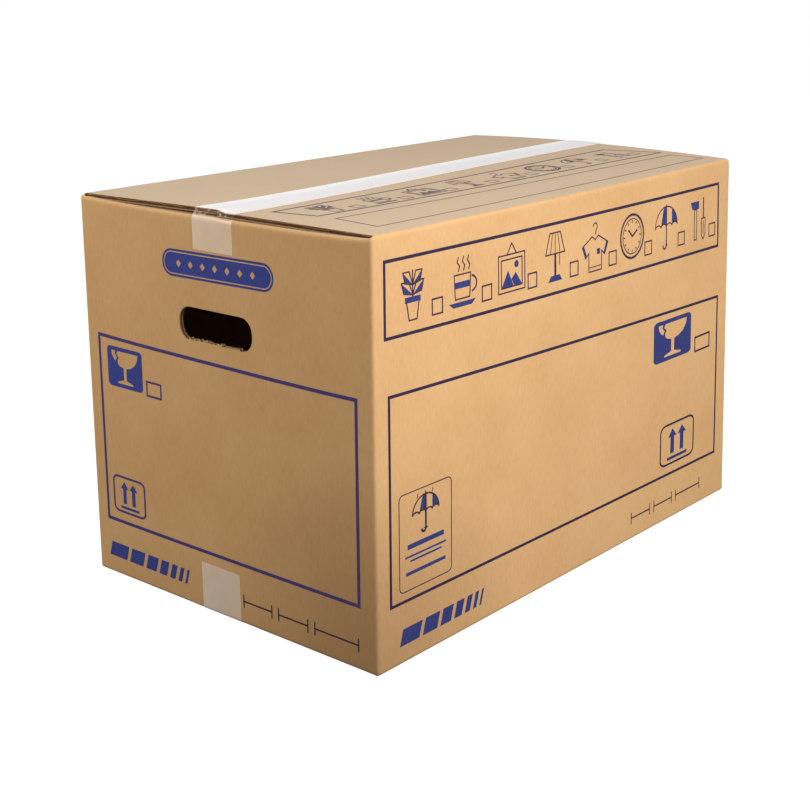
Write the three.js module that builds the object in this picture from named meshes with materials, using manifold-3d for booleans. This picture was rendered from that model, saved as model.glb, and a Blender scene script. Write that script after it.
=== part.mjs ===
// A slotted shipping carton, folded from one blank of corrugated board and taped shut along its
// top and bottom seams. Millimetres, +Z up; X runs along the long sides, Y along the ends, and the
// origin is under the middle of the box, on the surface that it stands on.
import * as THREE from "three";
import { mergeVertices } from "three/addons/utils/BufferGeometryUtils.js";
import Module from "manifold-3d";

const wasm = await Module();
wasm.setup();

// The carton's outside, board to board.
const LENGTH = 550;
const WIDTH = 350;
const HEIGHT = 350;

// Single-wall board, and how it folds.
const BOARD = 4;
const FOLD_INSIDE = 1;
const FOLD_STEPS = 4;

// The major flaps meet along the middle, and lie on the minor flaps.
const SEAM_GAP = 1.6;
const LAYER_GAP = 0.3;

// The glued joint inside one upright corner.
const TAB_WIDTH = 35;
const TAB_TAPER = 12;
const JOINT_GAP = 1.5;

// The hand hole through each end.
const HOLE_WIDTH = 89;
const HOLE_HEIGHT = 29;
const HOLE_RADIUS = 13;
const HOLE_BELOW_TOP = 92.5;
const HOLE_STEPS = 6;

// Packing tape: the film, the glue under it, and the tails that run on down or up the ends.
const FILM = 0.05;
const GLUE = 0.05;
const TAPE_WIDTH = 48;
const TOP_TAIL = 28;
const BOTTOM_TAIL = 44;
const BOTTOM_TAPE_OFFSET = 5;

// What follows from those.
const FOLD_OUTSIDE = FOLD_INSIDE + BOARD;
const LAYER = BOARD + LAYER_GAP;
const SHOULDER = LAYER + FOLD_OUTSIDE;
const FLAP_LENGTH = (WIDTH - SEAM_GAP) / 2;
const STAND = GLUE + FILM;
const CUT_PAST = 1;

const KRAFT = new THREE.MeshStandardMaterial({ color: 0xc99b66, roughness: 0.9, metalness: 0 });
const CLEAR_TAPE = new THREE.MeshStandardMaterial({ color: 0xd8c0a0, roughness: 0.2, metalness: 0 });

/** A geometry as a closed solid that can be joined and cut. */
function toSolid(geometry) {
  const bare = geometry.clone();
  bare.deleteAttribute("normal");
  bare.deleteAttribute("uv");
  const merged = mergeVertices(bare, 1e-4);
  const mesh = new wasm.Mesh({
    numProp: 3,
    vertProperties: new Float32Array(merged.attributes.position.array),
    triVerts: new Uint32Array(merged.index.array),
  });
  return new wasm.Manifold(mesh);
}

/** A solid back as a geometry for a mesh. */
function toGeometry(solid) {
  const { vertProperties, triVerts } = solid.getMesh();
  const geometry = new THREE.BufferGeometry();
  geometry.setAttribute("position", new THREE.BufferAttribute(new Float32Array(vertProperties), 3));
  geometry.setIndex(new THREE.BufferAttribute(new Uint32Array(triVerts), 1));
  geometry.computeVertexNormals();
  return geometry;
}

/** A prism of a shape, whose height is centred on the shape's own plane. */
function prism(shape, height, curveSegments = FOLD_STEPS) {
  const geometry = new THREE.ExtrudeGeometry(shape, { depth: height, bevelEnabled: false, curveSegments });
  return geometry.translate(0, 0, -height / 2);
}

/** A box between two corners. */
function block(low, high) {
  const size = high.map((value, axis) => value - low[axis]);
  const middle = high.map((value, axis) => (value + low[axis]) / 2);
  return toSolid(new THREE.BoxGeometry(...size).translate(...middle));
}

/** A rectangle with quarter-round corners, centred on the origin. */
function roundedRectangle(Outline, width, height, radius) {
  const x = width / 2;
  const y = height / 2;
  const outline = new Outline();
  outline.moveTo(-x + radius, -y);
  outline.lineTo(x - radius, -y);
  outline.absarc(x - radius, -y + radius, radius, -Math.PI / 2, 0);
  outline.lineTo(x, y - radius);
  outline.absarc(x - radius, y - radius, radius, 0, Math.PI / 2);
  outline.lineTo(-x + radius, y);
  outline.absarc(-x + radius, y - radius, radius, Math.PI / 2, Math.PI);
  outline.lineTo(-x, -y + radius);
  outline.absarc(-x + radius, -y + radius, radius, Math.PI, Math.PI * 1.5);
  return outline;
}

/** The four walls with their upright folds: one board round a rounded rectangle. */
function wallRing() {
  const ring = roundedRectangle(THREE.Shape, LENGTH, WIDTH, FOLD_OUTSIDE);
  ring.holes.push(
    roundedRectangle(THREE.Path, LENGTH - 2 * BOARD, WIDTH - 2 * BOARD, FOLD_INSIDE),
  );
  return toSolid(prism(ring, HEIGHT - 2 * SHOULDER).translate(0, 0, HEIGHT / 2));
}

/**
 * The section of a wall that folds in at its top and bottom into two flaps. Across, it runs from the
 * wall's outer face to the flaps' tips; up, it lies between two levels, the flaps' outer faces.
 */
function foldedSection(face, tip, low, high) {
  const bend = face + FOLD_OUTSIDE;
  const section = new THREE.Shape();
  section.moveTo(tip, low);
  section.lineTo(tip, low + BOARD);
  section.lineTo(bend, low + BOARD);
  section.absarc(bend, low + FOLD_OUTSIDE, FOLD_INSIDE, -Math.PI / 2, -Math.PI, true);
  section.lineTo(face + BOARD, high - FOLD_OUTSIDE);
  section.absarc(bend, high - FOLD_OUTSIDE, FOLD_INSIDE, Math.PI, Math.PI / 2, true);
  section.lineTo(tip, high - BOARD);
  section.lineTo(tip, high);
  section.lineTo(bend, high);
  section.absarc(bend, high - FOLD_OUTSIDE, FOLD_OUTSIDE, Math.PI / 2, Math.PI, false);
  section.lineTo(face, low + FOLD_OUTSIDE);
  section.absarc(bend, low + FOLD_OUTSIDE, FOLD_OUTSIDE, Math.PI, Math.PI * 1.5, false);
  return section;
}

/** A panel with both its flaps, on the side that the turn about Z says. Its section faces -X. */
function foldedPanel(section, width, turn) {
  const panel = prism(section, width);
  panel.rotateX(Math.PI / 2);
  panel.rotateZ(turn);
  return toSolid(panel);
}

/** The glue tab: a second layer of board inside a long side, its ends cut back at a slant. */
function glueTab() {
  const reach = LENGTH / 2 - BOARD;
  const low = SHOULDER;
  const high = HEIGHT - SHOULDER;
  const tab = new THREE.Shape();
  tab.moveTo(reach, low);
  tab.lineTo(reach, high);
  tab.lineTo(reach - TAB_WIDTH, high - TAB_TAPER);
  tab.lineTo(reach - TAB_WIDTH, low + TAB_TAPER);
  tab.closePath();
  return toSolid(prism(tab, BOARD).rotateX(Math.PI / 2).translate(0, WIDTH / 2 - BOARD * 1.5, 0));
}

/** The slit outside the glued joint, between the long side's raw edge and the upright fold. */
function jointSlit() {
  const edge = LENGTH / 2 - FOLD_OUTSIDE;
  return block(
    [edge - JOINT_GAP, WIDTH / 2 - BOARD, SHOULDER],
    [edge, WIDTH / 2 + CUT_PAST, HEIGHT - SHOULDER],
  );
}

/** One cutter for both hand holes: the oblong, carried through the whole length of the box. */
function handHoles() {
  const oblong = roundedRectangle(THREE.Shape, HOLE_WIDTH, HOLE_HEIGHT, HOLE_RADIUS);
  const cutter = prism(oblong, LENGTH + 2 * CUT_PAST, HOLE_STEPS);
  cutter.rotateX(Math.PI / 2);
  cutter.rotateZ(Math.PI / 2);
  return toSolid(cutter.translate(0, 0, HEIGHT - HOLE_BELOW_TOP));
}

/** The folded blank: the ring of walls, the eight flaps and the glued joint, all one board. */
function cartonSolid() {
  const major = foldedSection(-WIDTH / 2, -SEAM_GAP / 2, 0, HEIGHT);
  const minor = foldedSection(-LENGTH / 2, -LENGTH / 2 + FLAP_LENGTH, LAYER, HEIGHT - LAYER);
  const majorWidth = LENGTH - 2 * FOLD_OUTSIDE;
  const minorWidth = WIDTH - 2 * FOLD_OUTSIDE;
  return wallRing()
    .add(foldedPanel(major, majorWidth, Math.PI / 2))
    .add(foldedPanel(major, majorWidth, -Math.PI / 2))
    .add(foldedPanel(minor, minorWidth, 0))
    .add(foldedPanel(minor, minorWidth, Math.PI))
    .add(glueTab())
    .subtract(jointSlit())
    .subtract(handHoles());
}

/**
 * Half the line that tape follows over a seam, as points across and up: along the flaps to their
 * end, straight down to where it meets the round of the fold below, round that and down the end.
 */
function tapeLine(standoff, tail) {
  const across = LENGTH / 2 - FOLD_OUTSIDE;
  const round = FOLD_OUTSIDE + standoff;
  const drop = SHOULDER + standoff;
  const meet = Math.asin(round / drop);
  const points = [[0, standoff], [across, standoff]];
  for (let step = 0; step <= FOLD_STEPS; step += 1) {
    const angle = (meet * (FOLD_STEPS - step)) / FOLD_STEPS;
    points.push([across + round * Math.cos(angle), -SHOULDER + round * Math.sin(angle)]);
  }
  points.push([across + round, -tail]);
  return points;
}

/** Tape over a seam: the film's section between its glued face and its outer face, made wide. */
function tapeGeometry(tail, upward) {
  const glued = tapeLine(GLUE, tail);
  const outer = tapeLine(GLUE + FILM, tail);
  const mirror = (line) => line.slice(1).reverse().map(([across, up]) => [-across, up]);
  const outline = [...mirror(outer), ...outer, ...glued.slice().reverse(), ...mirror(glued).reverse()];
  const section = new THREE.Shape(outline.map(([across, up]) => new THREE.Vector2(across, up)));
  const film = prism(section, TAPE_WIDTH).rotateX(Math.PI / 2);
  return upward ? film.translate(0, 0, HEIGHT) : film.rotateX(Math.PI);
}

/** A named mesh, lifted so that the lowest film touches the floor. */
function piece(name, geometry, material) {
  const mesh = new THREE.Mesh(geometry, material);
  mesh.name = name;
  mesh.position.z = STAND;
  return mesh;
}

const box = new THREE.Group();
box.name = "storage_box";
box.add(piece("carton", toGeometry(cartonSolid()), KRAFT));
box.add(piece("top_tape", tapeGeometry(TOP_TAIL, true), CLEAR_TAPE));

const bottomTape = piece("bottom_tape", tapeGeometry(BOTTOM_TAIL, false), CLEAR_TAPE);
bottomTape.position.y = BOTTOM_TAPE_OFFSET;
box.add(bottomTape);

export default box;
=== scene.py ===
import math

import bpy
import numpy as np
from mathutils import Matrix, Vector
from mathutils.geometry import delaunay_2d_cdt


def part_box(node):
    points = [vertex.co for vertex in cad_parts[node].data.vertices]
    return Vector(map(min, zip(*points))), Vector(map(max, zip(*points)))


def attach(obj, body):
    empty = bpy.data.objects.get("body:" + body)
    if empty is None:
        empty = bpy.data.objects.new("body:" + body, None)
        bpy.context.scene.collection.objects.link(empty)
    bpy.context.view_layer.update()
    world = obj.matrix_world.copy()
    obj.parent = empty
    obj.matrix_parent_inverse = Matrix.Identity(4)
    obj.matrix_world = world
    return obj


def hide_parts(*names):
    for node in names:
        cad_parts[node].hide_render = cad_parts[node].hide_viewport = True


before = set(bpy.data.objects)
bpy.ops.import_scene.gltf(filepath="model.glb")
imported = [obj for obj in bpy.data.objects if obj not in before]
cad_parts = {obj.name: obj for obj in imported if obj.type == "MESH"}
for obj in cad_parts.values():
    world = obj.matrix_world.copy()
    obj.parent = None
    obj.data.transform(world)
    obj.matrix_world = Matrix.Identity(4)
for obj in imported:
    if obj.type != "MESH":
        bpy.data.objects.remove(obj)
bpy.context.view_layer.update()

MM = 0.001

# The carton's outside, from its solid, and the board that it is folded from.
LOW, HIGH = (np.array(corner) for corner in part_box("carton"))
LENGTH, WIDTH, HEIGHT = HIGH - LOW
LIFT = LOW[2]
HALF_X, HALF_Y = LENGTH / 2, WIDTH / 2
BOARD = 4 * MM
LINER = 0.5 * MM
FLUTE_PITCH = 7.9 * MM
FOLD = 5 * MM
LAYER = 4.3 * MM
SEAM_GAP = 1.6 * MM
JOINT_EDGE = 3 * MM
LOWER_STEP = 0.3 * MM
UPPER_STEP_AT_CORNERS = 0.5 * LAYER
CLIMB = 11 * MM
LOWER_CUT_BACK = 9 * MM
TAB = 35 * MM
TAB_CUT_BACK = 15 * MM
HOLE_SIZE = (89 * MM, 29 * MM)
HOLE_RADIUS = 13 * MM
HOLE_BELOW_TOP = 92.3 * MM
FOLD_FULLNESS = 4

# The cut edges: how far the hollow between the liners is sunk, and the fluted paper in it.
SUNK = 1.2 * MM
EDGE_STEP = 1.2 * MM
FLUTE_THICKNESS = 0.34 * MM
FLUTE_SUNK = 0.25 * MM

# The sheet's own measures: across the box's height, then round the fold, then along the flap.
WALL = HEIGHT - 2 * FOLD
TURN = FOLD * math.pi / 2
FLAP = HALF_Y - SEAM_GAP / 2 - FOLD
GUSSET = 0.8 * TURN

# How the real box has come out of true. The upper corners lie off a true box's, by their sides along X
# and Y; the walls bow out; the lid crowns, more at its far end, and sags along its front edge.
CORNER_OFFSETS = {
    (-1, -1): (1.0 * MM, -0.7 * MM, -3.6 * MM),
    (-1, 1): (2.4 * MM, -1.7 * MM, 0.0 * MM),
    (1, -1): (-2.3 * MM, 6.0 * MM, 6.3 * MM),
    (1, 1): (5.3 * MM, -5.0 * MM, 11.8 * MM),
}
BOW_X, BOW_Y = 0.9 * MM, 1.6 * MM
CROWN, FAR_CROWN = 1.2 * MM, 3.2 * MM
FRONT_SAG = 1.4 * MM

# How far the lid's flaps stand off the flaps below at the seam's ends, on the front flap and, in
# addition, on the back one; how fast that dies out from the near and the far end.
FLAP_LIFT, BACK_FLAP_LIFT = 0.6 * MM, 2.0 * MM
LIFT_REACH, FAR_LIFT_REACH = 70 * MM, 60 * MM
FAR_LIFT_SHARE = 0.5


def srgb(code):
    """An sRGB hex colour as the linear colour that a shader takes."""
    parts = [int(code[i:i + 2], 16) / 255 for i in (1, 3, 5)]
    return tuple(c / 12.92 if c <= 0.04045 else ((c + 0.055) / 1.055) ** 2.4 for c in parts) + (1.0,)


def smooth(x, start, end):
    """0 before start and 1 after end, with the cubic 3x^2 - 2x^3 between them."""
    x = np.clip((x - start) / (end - start), 0, 1)
    return x * x * (3 - 2 * x)


def ripple(x, seed, length):
    """Uneven waves about 0: four sines of falling length and height, with phases from the seed."""
    phases = np.random.default_rng(seed).uniform(0, 2 * math.pi, 4)
    turns = 2 * math.pi * x / length
    return sum(np.sin(turns * 1.7 ** k + p) / 1.5 ** k for k, p in enumerate(phases)) / 2.4


# The sheet's course round the box, seen from above and anticlockwise, on its outer face:
# (first point, direction or turn's centre, length, share of the way from a long side to an end).
RUNS = [
    ("line", (HALF_X - JOINT_EDGE, HALF_Y), (-1, 0), LENGTH - FOLD - JOINT_EDGE, 0, 0),
    ("turn", (-HALF_X + FOLD, HALF_Y - FOLD), 90, TURN, 0, 1),
    ("line", (-HALF_X, HALF_Y - FOLD), (0, -1), WIDTH - 2 * FOLD, 1, 1),
    ("turn", (-HALF_X + FOLD, -HALF_Y + FOLD), 180, TURN, 1, 0),
    ("line", (-HALF_X + FOLD, -HALF_Y), (1, 0), LENGTH - 2 * FOLD, 0, 0),
    ("turn", (HALF_X - FOLD, -HALF_Y + FOLD), 270, TURN, 0, 1),
    ("line", (HALF_X, -HALF_Y + FOLD), (0, 1), WIDTH - 2 * FOLD - BOARD, 1, 1),
    ("turn", (HALF_X - FOLD, HALF_Y - BOARD - FOLD), 0, TURN, 1, 1),
    ("line", (HALF_X - FOLD, HALF_Y - BOARD), (-1, 0), TAB, 1, 1),
]
STARTS = np.concatenate([[0], np.cumsum([run[3] for run in RUNS])])
BACK, NEAR_END, FRONT, FAR_END = STARTS[0], STARTS[2], STARTS[4], STARTS[6]
TAB_START = STARTS[8]

# The four panels along the sheet, between the slots that part their flaps.
PANELS = [
    (BACK + FOLD - JOINT_EDGE, STARTS[1]),
    (NEAR_END, STARTS[3]),
    (FRONT, STARTS[5]),
    (FAR_END, STARTS[7]),
]


def fold_curve(angle):
    """Across and up on a fold's section at an angle, its radius being 1: |x|^n + |y|^n = 1 with n its
    fullness. It is fuller than a circle, because board stays flat up to its crease."""
    c, s = np.cos(angle), np.sin(angle)
    reach = (np.abs(c) ** FOLD_FULLNESS + np.abs(s) ** FOLD_FULLNESS) ** (-1 / FOLD_FULLNESS)
    return c * reach, s * reach


def around(s):
    """The point on the outer face, its outward direction, and 0 on a long side to 1 on an end."""
    point, out, end = np.zeros(s.shape + (2,)), np.zeros(s.shape + (2,)), np.zeros(s.shape)
    for (kind, at, way, length, first, last), start in zip(RUNS, STARTS):
        here = (s >= start - 1e-9) & (s <= start + length + 1e-9)
        along = s[here] - start
        end[here] = first + (last - first) * along / length
        if kind == "line":
            point[here] = np.array(at) + along[:, None] * np.array(way)
            out[here] = (way[1], -way[0])
        else:
            angle = math.radians(way) + along / FOLD
            out[here] = np.stack([np.cos(angle), np.sin(angle)], -1)
            point[here] = np.array(at) + FOLD * np.stack(fold_curve(angle), -1)
    return point, out, end


def top_lift(x, y, soft=0.0):
    """How far the top flaps stand off the flaps below: most at the ends of the seam, and more on the
    back flap. The step from flap to flap is as wide as soft says."""
    near = np.exp(-(x + HALF_X) / LIFT_REACH)
    far = FAR_LIFT_SHARE * np.exp((x - HALF_X) / FAR_LIFT_REACH)
    back = smooth(y, -soft - 0.1 * MM, 0.1 * MM)
    return (near + far) * (FLAP_LIFT + BACK_FLAP_LIFT * back) * np.clip(1 - np.abs(y) / HALF_Y, 0, 1)


def settle(p):
    """A true box's points, carried to where the real box has them. Each upper corner is off by its own
    amount, shared out along the edges by the product of the ways along X, Y and Z. The sides bow out
    by a product of parabolas, the lid crowns, more at its far end, and the front sags by a parabola."""
    x, y, up = p[..., 0] / HALF_X, p[..., 1] / HALF_Y, np.clip(p[..., 2] / HEIGHT, 0, 1)
    moved = p.copy()
    for (side_x, side_y), offset in CORNER_OFFSETS.items():
        share = (1 + side_x * x) / 2 * (1 + side_y * y) / 2 * up
        moved += share[..., None] * np.array(offset)
    middle = 1 - (2 * up - 1) ** 2
    moved[..., 0] += x * BOW_X * middle * (1 - y ** 2)
    moved[..., 1] += y * BOW_Y * middle * (1 - x ** 2)
    crown = CROWN * (1 - x ** 2) + FAR_CROWN * smooth(x, -0.4, 1)
    moved[..., 2] += smooth(up, 0.6, 1) * crown * (1 - y ** 2)
    moved[..., 2] -= FRONT_SAG * up * (1 - x ** 2) * (1 - y) / 2
    return moved


def sheet(s, t, d):
    """The folded sheet: s runs round the box, t up the wall from its lower fold and on over the flaps,
    d into the board from its outer face. A fold is a quarter circle round a line inside the wall; past
    it, a flap runs in level. The flaps of the ends lie one layer further in than those of the sides, but
    their folds are crushed: towards the floor at the bottom, and up to the lid near its corners."""
    s, t, d = (np.asarray(a, float) for a in np.broadcast_arrays(s, t, d))
    point, out, end = around(s)
    beyond = np.maximum(np.maximum(t - WALL, -t), 0)
    sign = np.where(t > WALL / 2, 1, -1)
    near_corner = (point[..., 1] / HALF_Y) ** 4
    upper_step = end * (LAYER + near_corner * (UPPER_STEP_AT_CORNERS - LAYER))
    lower_step = end * LOWER_STEP
    across, up = fold_curve(np.clip(beyond / TURN, 0, 1) * math.pi / 2)
    inward = FOLD - (FOLD - d) * across + np.maximum(beyond - TURN, 0)
    level = FOLD + lower_step + np.clip(t / WALL, 0, 1) * (WALL - lower_step - upper_step)
    to_layer = np.where(t < 0, end * LAYER - lower_step, upper_step - end * LAYER)
    z = level + to_layer * smooth(beyond - TURN, 0, CLIMB) + sign * (FOLD - d) * up
    xy = point - out * inward[..., None]
    on_top = (t > WALL) & (end < 0.5)
    z = z + np.where(on_top, top_lift(xy[..., 0], xy[..., 1]) * np.clip(beyond / TURN, 0, 1), 0)
    return settle(np.concatenate([xy, z[..., None]], -1)) + (0, 0, LIFT)


def make_mesh(name, verts, faces, material, uv=None, angle=35, values=None):
    """An object at the origin from arrays of corners and faces, with smooth shading up to an angle.
    values are named numbers, one for each corner, for the material to read."""
    mesh = bpy.data.meshes.new(name)
    mesh.from_pydata(np.asarray(verts).tolist(), [], [list(map(int, f)) for f in faces])
    mesh.validate()
    if uv is not None:
        layer = mesh.uv_layers.new(name="sheet")
        corners = np.zeros(len(mesh.loops), int)
        mesh.loops.foreach_get("vertex_index", corners)
        layer.data.foreach_set("uv", np.asarray(uv)[corners].ravel())
    for title, numbers in (values or {}).items():
        mesh.attributes.new(title, "FLOAT", "POINT").data.foreach_set("value", np.ravel(numbers))
    mesh.materials.append(material)
    mesh.set_sharp_from_angle(angle=math.radians(angle))
    mesh.polygons.foreach_set("use_smooth", np.ones(len(mesh.polygons), bool))
    obj = bpy.data.objects.new(name, mesh)
    bpy.context.scene.collection.objects.link(obj)
    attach(obj, "root")
    return obj


def steps(start, end, pitch):
    """Even steps from start to end, no wider than the pitch."""
    return np.linspace(start, end, max(1, math.ceil((end - start) / pitch - 1e-6)) + 1)


def joined(*parts):
    """Rows or columns one after another, each shared border once."""
    return np.unique(np.round(np.concatenate(parts), 9))


def hole_outline(middle):
    """A hand hole in sheet coordinates: an oblong with quarter-round corners, its lower edge left
    ragged by the torn teeth of the perforation, whose heights vary."""
    hx, hz = HOLE_SIZE[0] / 2, HOLE_SIZE[1] / 2
    centre = np.array([middle, HEIGHT - HOLE_BELOW_TOP - FOLD])
    corners = []
    for turn, (cx, cz) in enumerate([(1, -1), (1, 1), (-1, 1), (-1, -1)]):
        angle = np.radians(np.linspace(-90, 0, 10) + 90 * turn)
        round_part = np.stack([np.cos(angle), np.sin(angle)], -1) * HOLE_RADIUS
        corners.append(round_part + (cx * (hx - HOLE_RADIUS), cz * (hz - HOLE_RADIUS)))
    teeth = np.arange(-hx + HOLE_RADIUS - 2 * MM, hx - HOLE_RADIUS - 0.6 * MM, 1.5 * MM)
    heights = np.random.default_rng(5).uniform(0.8, 2.5, len(teeth)) * MM
    heights[::2] *= 0.1
    lower = np.stack([teeth, -hz + heights], -1)
    return np.concatenate([corners[0], corners[1], corners[2], corners[3], lower]) + centre


def inside(points, loop):
    """Whether points lie in a closed loop, by counting the edges that a ray to the right crosses."""
    x, y = points[:, 0, None], points[:, 1, None]
    a, b = loop, np.roll(loop, -1, 0)
    crosses = (a[:, 1] > y) != (b[:, 1] > y)
    with np.errstate(divide="ignore", invalid="ignore"):
        at = a[:, 0] + (y - a[:, 1]) / (b[:, 1] - a[:, 1]) * (b[:, 0] - a[:, 0])
    return (crosses & (x < at)).sum(1) % 2 == 1


def filled(loops, extra=()):
    """Triangles over a plane shape: kept where a triangle's middle lies in an odd number of loops."""
    points = [Vector(p) for loop in loops for p in loop] + [Vector(p) for p in extra]
    edges, start = [], 0
    for loop in loops:
        count = len(loop)
        edges += [(start + i, start + (i + 1) % count) for i in range(count)]
        start += count
    out = delaunay_2d_cdt(points, edges, [], 0, 1e-9)
    verts = np.array([tuple(v) for v in out[0]])
    tris = np.array([f for f in out[2] if len(f) == 3])
    middles = verts[tris].mean(1)
    keep = sum(inside(middles, np.asarray(loop)).astype(int) for loop in loops) % 2 == 1
    return verts, tris[keep]


def board_plan():
    """The sheet laid flat, as corners (s, t) and faces: a grid of walls and flaps with slots between
    them, and round each hand hole a patch of triangles that joins the grid to the hole's outline."""
    cell = 9 * MM
    fold = np.linspace(0, TURN, 9)
    turns = [STARTS[k] + fold for k in (1, 3, 5, 7)]
    cuts = [at for a, b in PANELS[::2] for at in (a + LOWER_CUT_BACK, b - LOWER_CUT_BACK)]
    columns = joined([BACK, PANELS[0][0]], cuts, *turns, *(steps(a, b, cell) for a, b in PANELS),
                     steps(TAB_START, STARTS[9], cell))
    flap = steps(TURN, TURN + FLAP, cell)
    tab_ends = [TAB_CUT_BACK, WALL - TAB_CUT_BACK]
    rows = joined(-flap, -fold, tab_ends, steps(0, WALL, cell), WALL + fold, WALL + flap)
    s_mid = (columns[1:] + columns[:-1]) / 2
    t_mid = (rows[1:] + rows[:-1]) / 2
    s_cell, t_cell = np.meshgrid(s_mid, t_mid)
    in_flap = np.zeros_like(s_cell, bool)
    for k, (a, b) in enumerate(PANELS):
        cut_back = np.where((k % 2 == 0) & (t_cell < -TURN), LOWER_CUT_BACK, 0)
        in_flap |= (s_cell > a + cut_back) & (s_cell < b - cut_back)
    for k in (1, 3, 5):
        in_turn = (s_cell > STARTS[k]) & (s_cell < STARTS[k + 1])
        in_flap |= in_turn & (t_cell > -GUSSET) & (t_cell < WALL + GUSSET)
    wall_row = (t_cell > 0) & (t_cell < WALL)
    on_tab = s_cell > TAB_START
    tab_row = (t_cell > tab_ends[0]) & (t_cell < tab_ends[1])
    keep = np.where(wall_row, ~on_tab | tab_row, in_flap & ~on_tab)
    holes = [hole_outline(start + WIDTH / 2 - FOLD) for start in (NEAR_END, FAR_END)]
    margin = 12 * MM
    patches = []
    for hole in holes:
        low, high = hole.min(0) - margin, hole.max(0) + margin
        patch = (s_cell > low[0]) & (s_cell < high[0]) & (t_cell > low[1]) & (t_cell < high[1])
        keep &= ~patch
        patches.append(patch)
    s_grid, t_grid = np.meshgrid(columns, rows)
    verts = np.stack([s_grid.ravel(), t_grid.ravel()], -1)
    index = np.arange(len(verts)).reshape(s_grid.shape)
    i, j = np.nonzero(keep)
    corners = index[i, j], index[i, j + 1], index[i + 1, j + 1], index[i + 1, j]
    faces = [tuple(q) for q in np.stack(corners, -1)]
    for hole, patch in zip(holes, patches):
        rows_in, cols_in = np.nonzero(patch)
        r0, r1, c0, c1 = rows_in.min(), rows_in.max() + 1, cols_in.min(), cols_in.max() + 1
        sides = index[r0, c0:c1], index[r0:r1, c1], index[r1, c1:c0:-1], index[r1:r0:-1, c0]
        ring = np.concatenate(sides)
        inner = verts[index[r0 + 1:r1, c0 + 1:c1].ravel()]
        clear = np.linalg.norm(inner[:, None] - hole[None], axis=-1).min(1) > 3 * MM
        inner = inner[clear & ~inside(inner, hole)]
        new_verts, new_tris = filled([verts[ring], hole], inner)
        near = np.linalg.norm(new_verts[:, None] - verts[ring][None], axis=-1)
        match = np.where(near.min(1) < 1e-7, ring[near.argmin(1)], -1)
        fresh = match < 0
        match[fresh] = len(verts) + np.arange(fresh.sum())
        verts = np.concatenate([verts, new_verts[fresh]])
        faces += [tuple(q) for q in match[new_tris]]
    return verts, faces, holes


def rim_of(verts, faces):
    """The plan's free edges as pairs of corners, faces on their left, and for each corner on them the
    direction into the sheet."""
    edges = {}
    for face in faces:
        for a, b in zip(face, face[1:] + face[:1]):
            if (b, a) in edges:
                del edges[(b, a)]
            else:
                edges[(a, b)] = True
    pairs = np.array(list(edges))
    along = verts[pairs[:, 1]] - verts[pairs[:, 0]]
    left = np.stack([-along[:, 1], along[:, 0]], -1)
    left /= np.linalg.norm(left, axis=1)[:, None]
    inward = np.zeros_like(verts)
    np.add.at(inward, pairs[:, 0], left)
    np.add.at(inward, pairs[:, 1], left)
    size = np.linalg.norm(inward, axis=1)
    inward[size > 0] /= size[size > 0][:, None]
    return pairs, inward


def oriented(verts, faces):
    """Faces turned so that each runs anticlockwise in the plan."""
    out = []
    for face in faces:
        p = verts[list(face)]
        area = np.sum(p[:, 0] * np.roll(p[:, 1], -1) - np.roll(p[:, 0], -1) * p[:, 1])
        out.append(tuple(face) if area > 0 else tuple(face[::-1]))
    return out


def make_board(material, cut_material, shaded_hollow_material):
    """The folded blank: the plan's outer and inner faces, closed by a rim that is sunk between the
    two liners, so that each cut edge shows two paper lines and a hollow painted dark as the shade in the
    flutes' channels."""
    verts, faces, holes = board_plan()
    faces = oriented(verts, faces)
    used = np.unique(np.concatenate([np.array(f) for f in faces]))
    renumber = -np.ones(len(verts), int)
    renumber[used] = np.arange(len(used))
    verts = verts[used]
    faces = [tuple(renumber[list(f)]) for f in faces]
    pairs, inward = rim_of(verts, faces)
    count = len(verts)
    rim = np.unique(pairs)
    place = -np.ones(count, int)
    place[rim] = np.arange(len(rim))
    profile = [(LINER, 0.0), (LINER * 1.4, SUNK), (BOARD - LINER * 1.4, SUNK), (BOARD - LINER, 0.0)]
    points = [sheet(verts[:, 0], verts[:, 1], 0), sheet(verts[:, 0], verts[:, 1], BOARD)]
    flat = [verts, verts]
    for depth, inset in profile:
        moved = verts[rim] + inward[rim] * inset
        moved[:, 0] = np.clip(moved[:, 0], 0, STARTS[-1])
        points.append(sheet(moved[:, 0], moved[:, 1], depth))
        flat.append(moved)
    quads = [tuple(f) for f in faces] + [tuple(v + count for v in f[::-1]) for f in faces]
    n_skin = len(quads)
    start, end = pairs.T
    between = [2 * count + k * len(rim) + place for k in range(len(profile))]
    levels = [np.arange(count), *between, np.arange(count) + count]
    for near, far in zip(levels, levels[1:]):
        quads += [tuple(q) for q in np.stack([near[end], near[start], far[start], far[end]], -1)]
    board = make_mesh("carton_board", np.concatenate(points), quads, material, uv=np.concatenate(flat))
    for extra in (cut_material, shaded_hollow_material):
        board.data.materials.append(extra)
    slots = [0] * n_skin
    # Of the five faces across each rim, the middle one, the hollow's floor, is painted dark as the shade in
    # the flutes' channels.
    for slot in (1, 1, 2, 1, 1):
        slots += [slot] * len(pairs)
    board.data.polygons.foreach_set("material_index", slots)
    return board, holes


def flute_depth(s, t):
    """How deep in the board its fluted paper runs: a sine round the box, cut a little unevenly."""
    cut = 1.3 * MM * ripple(t, 3, 60 * MM)
    swing = (BOARD - 2 * LINER) / 2 - 0.25 * MM
    return BOARD / 2 + swing * np.sin(2 * math.pi * (s + cut) / FLUTE_PITCH)


def fluting_strip(line, inward):
    """Fluted paper in a cut edge: along a line in the plan, three narrow faces, its cut face just
    inside the liners' edges and its two sides down to the hollow's floor."""
    depth = flute_depth(line[:, 0], line[:, 1])
    half = FLUTE_THICKNESS / 2
    rows = [(-half, SUNK), (-half, FLUTE_SUNK), (half, FLUTE_SUNK), (half, SUNK)]
    points = [sheet(*(line + inward * inset).T, depth + side) for side, inset in rows]
    n = len(line)
    firsts = [k * n + i for k in range(3) for i in range(n - 1)]
    faces = [(first, first + 1, first + n + 1, first + n) for first in firsts]
    return np.concatenate(points), faces


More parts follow.
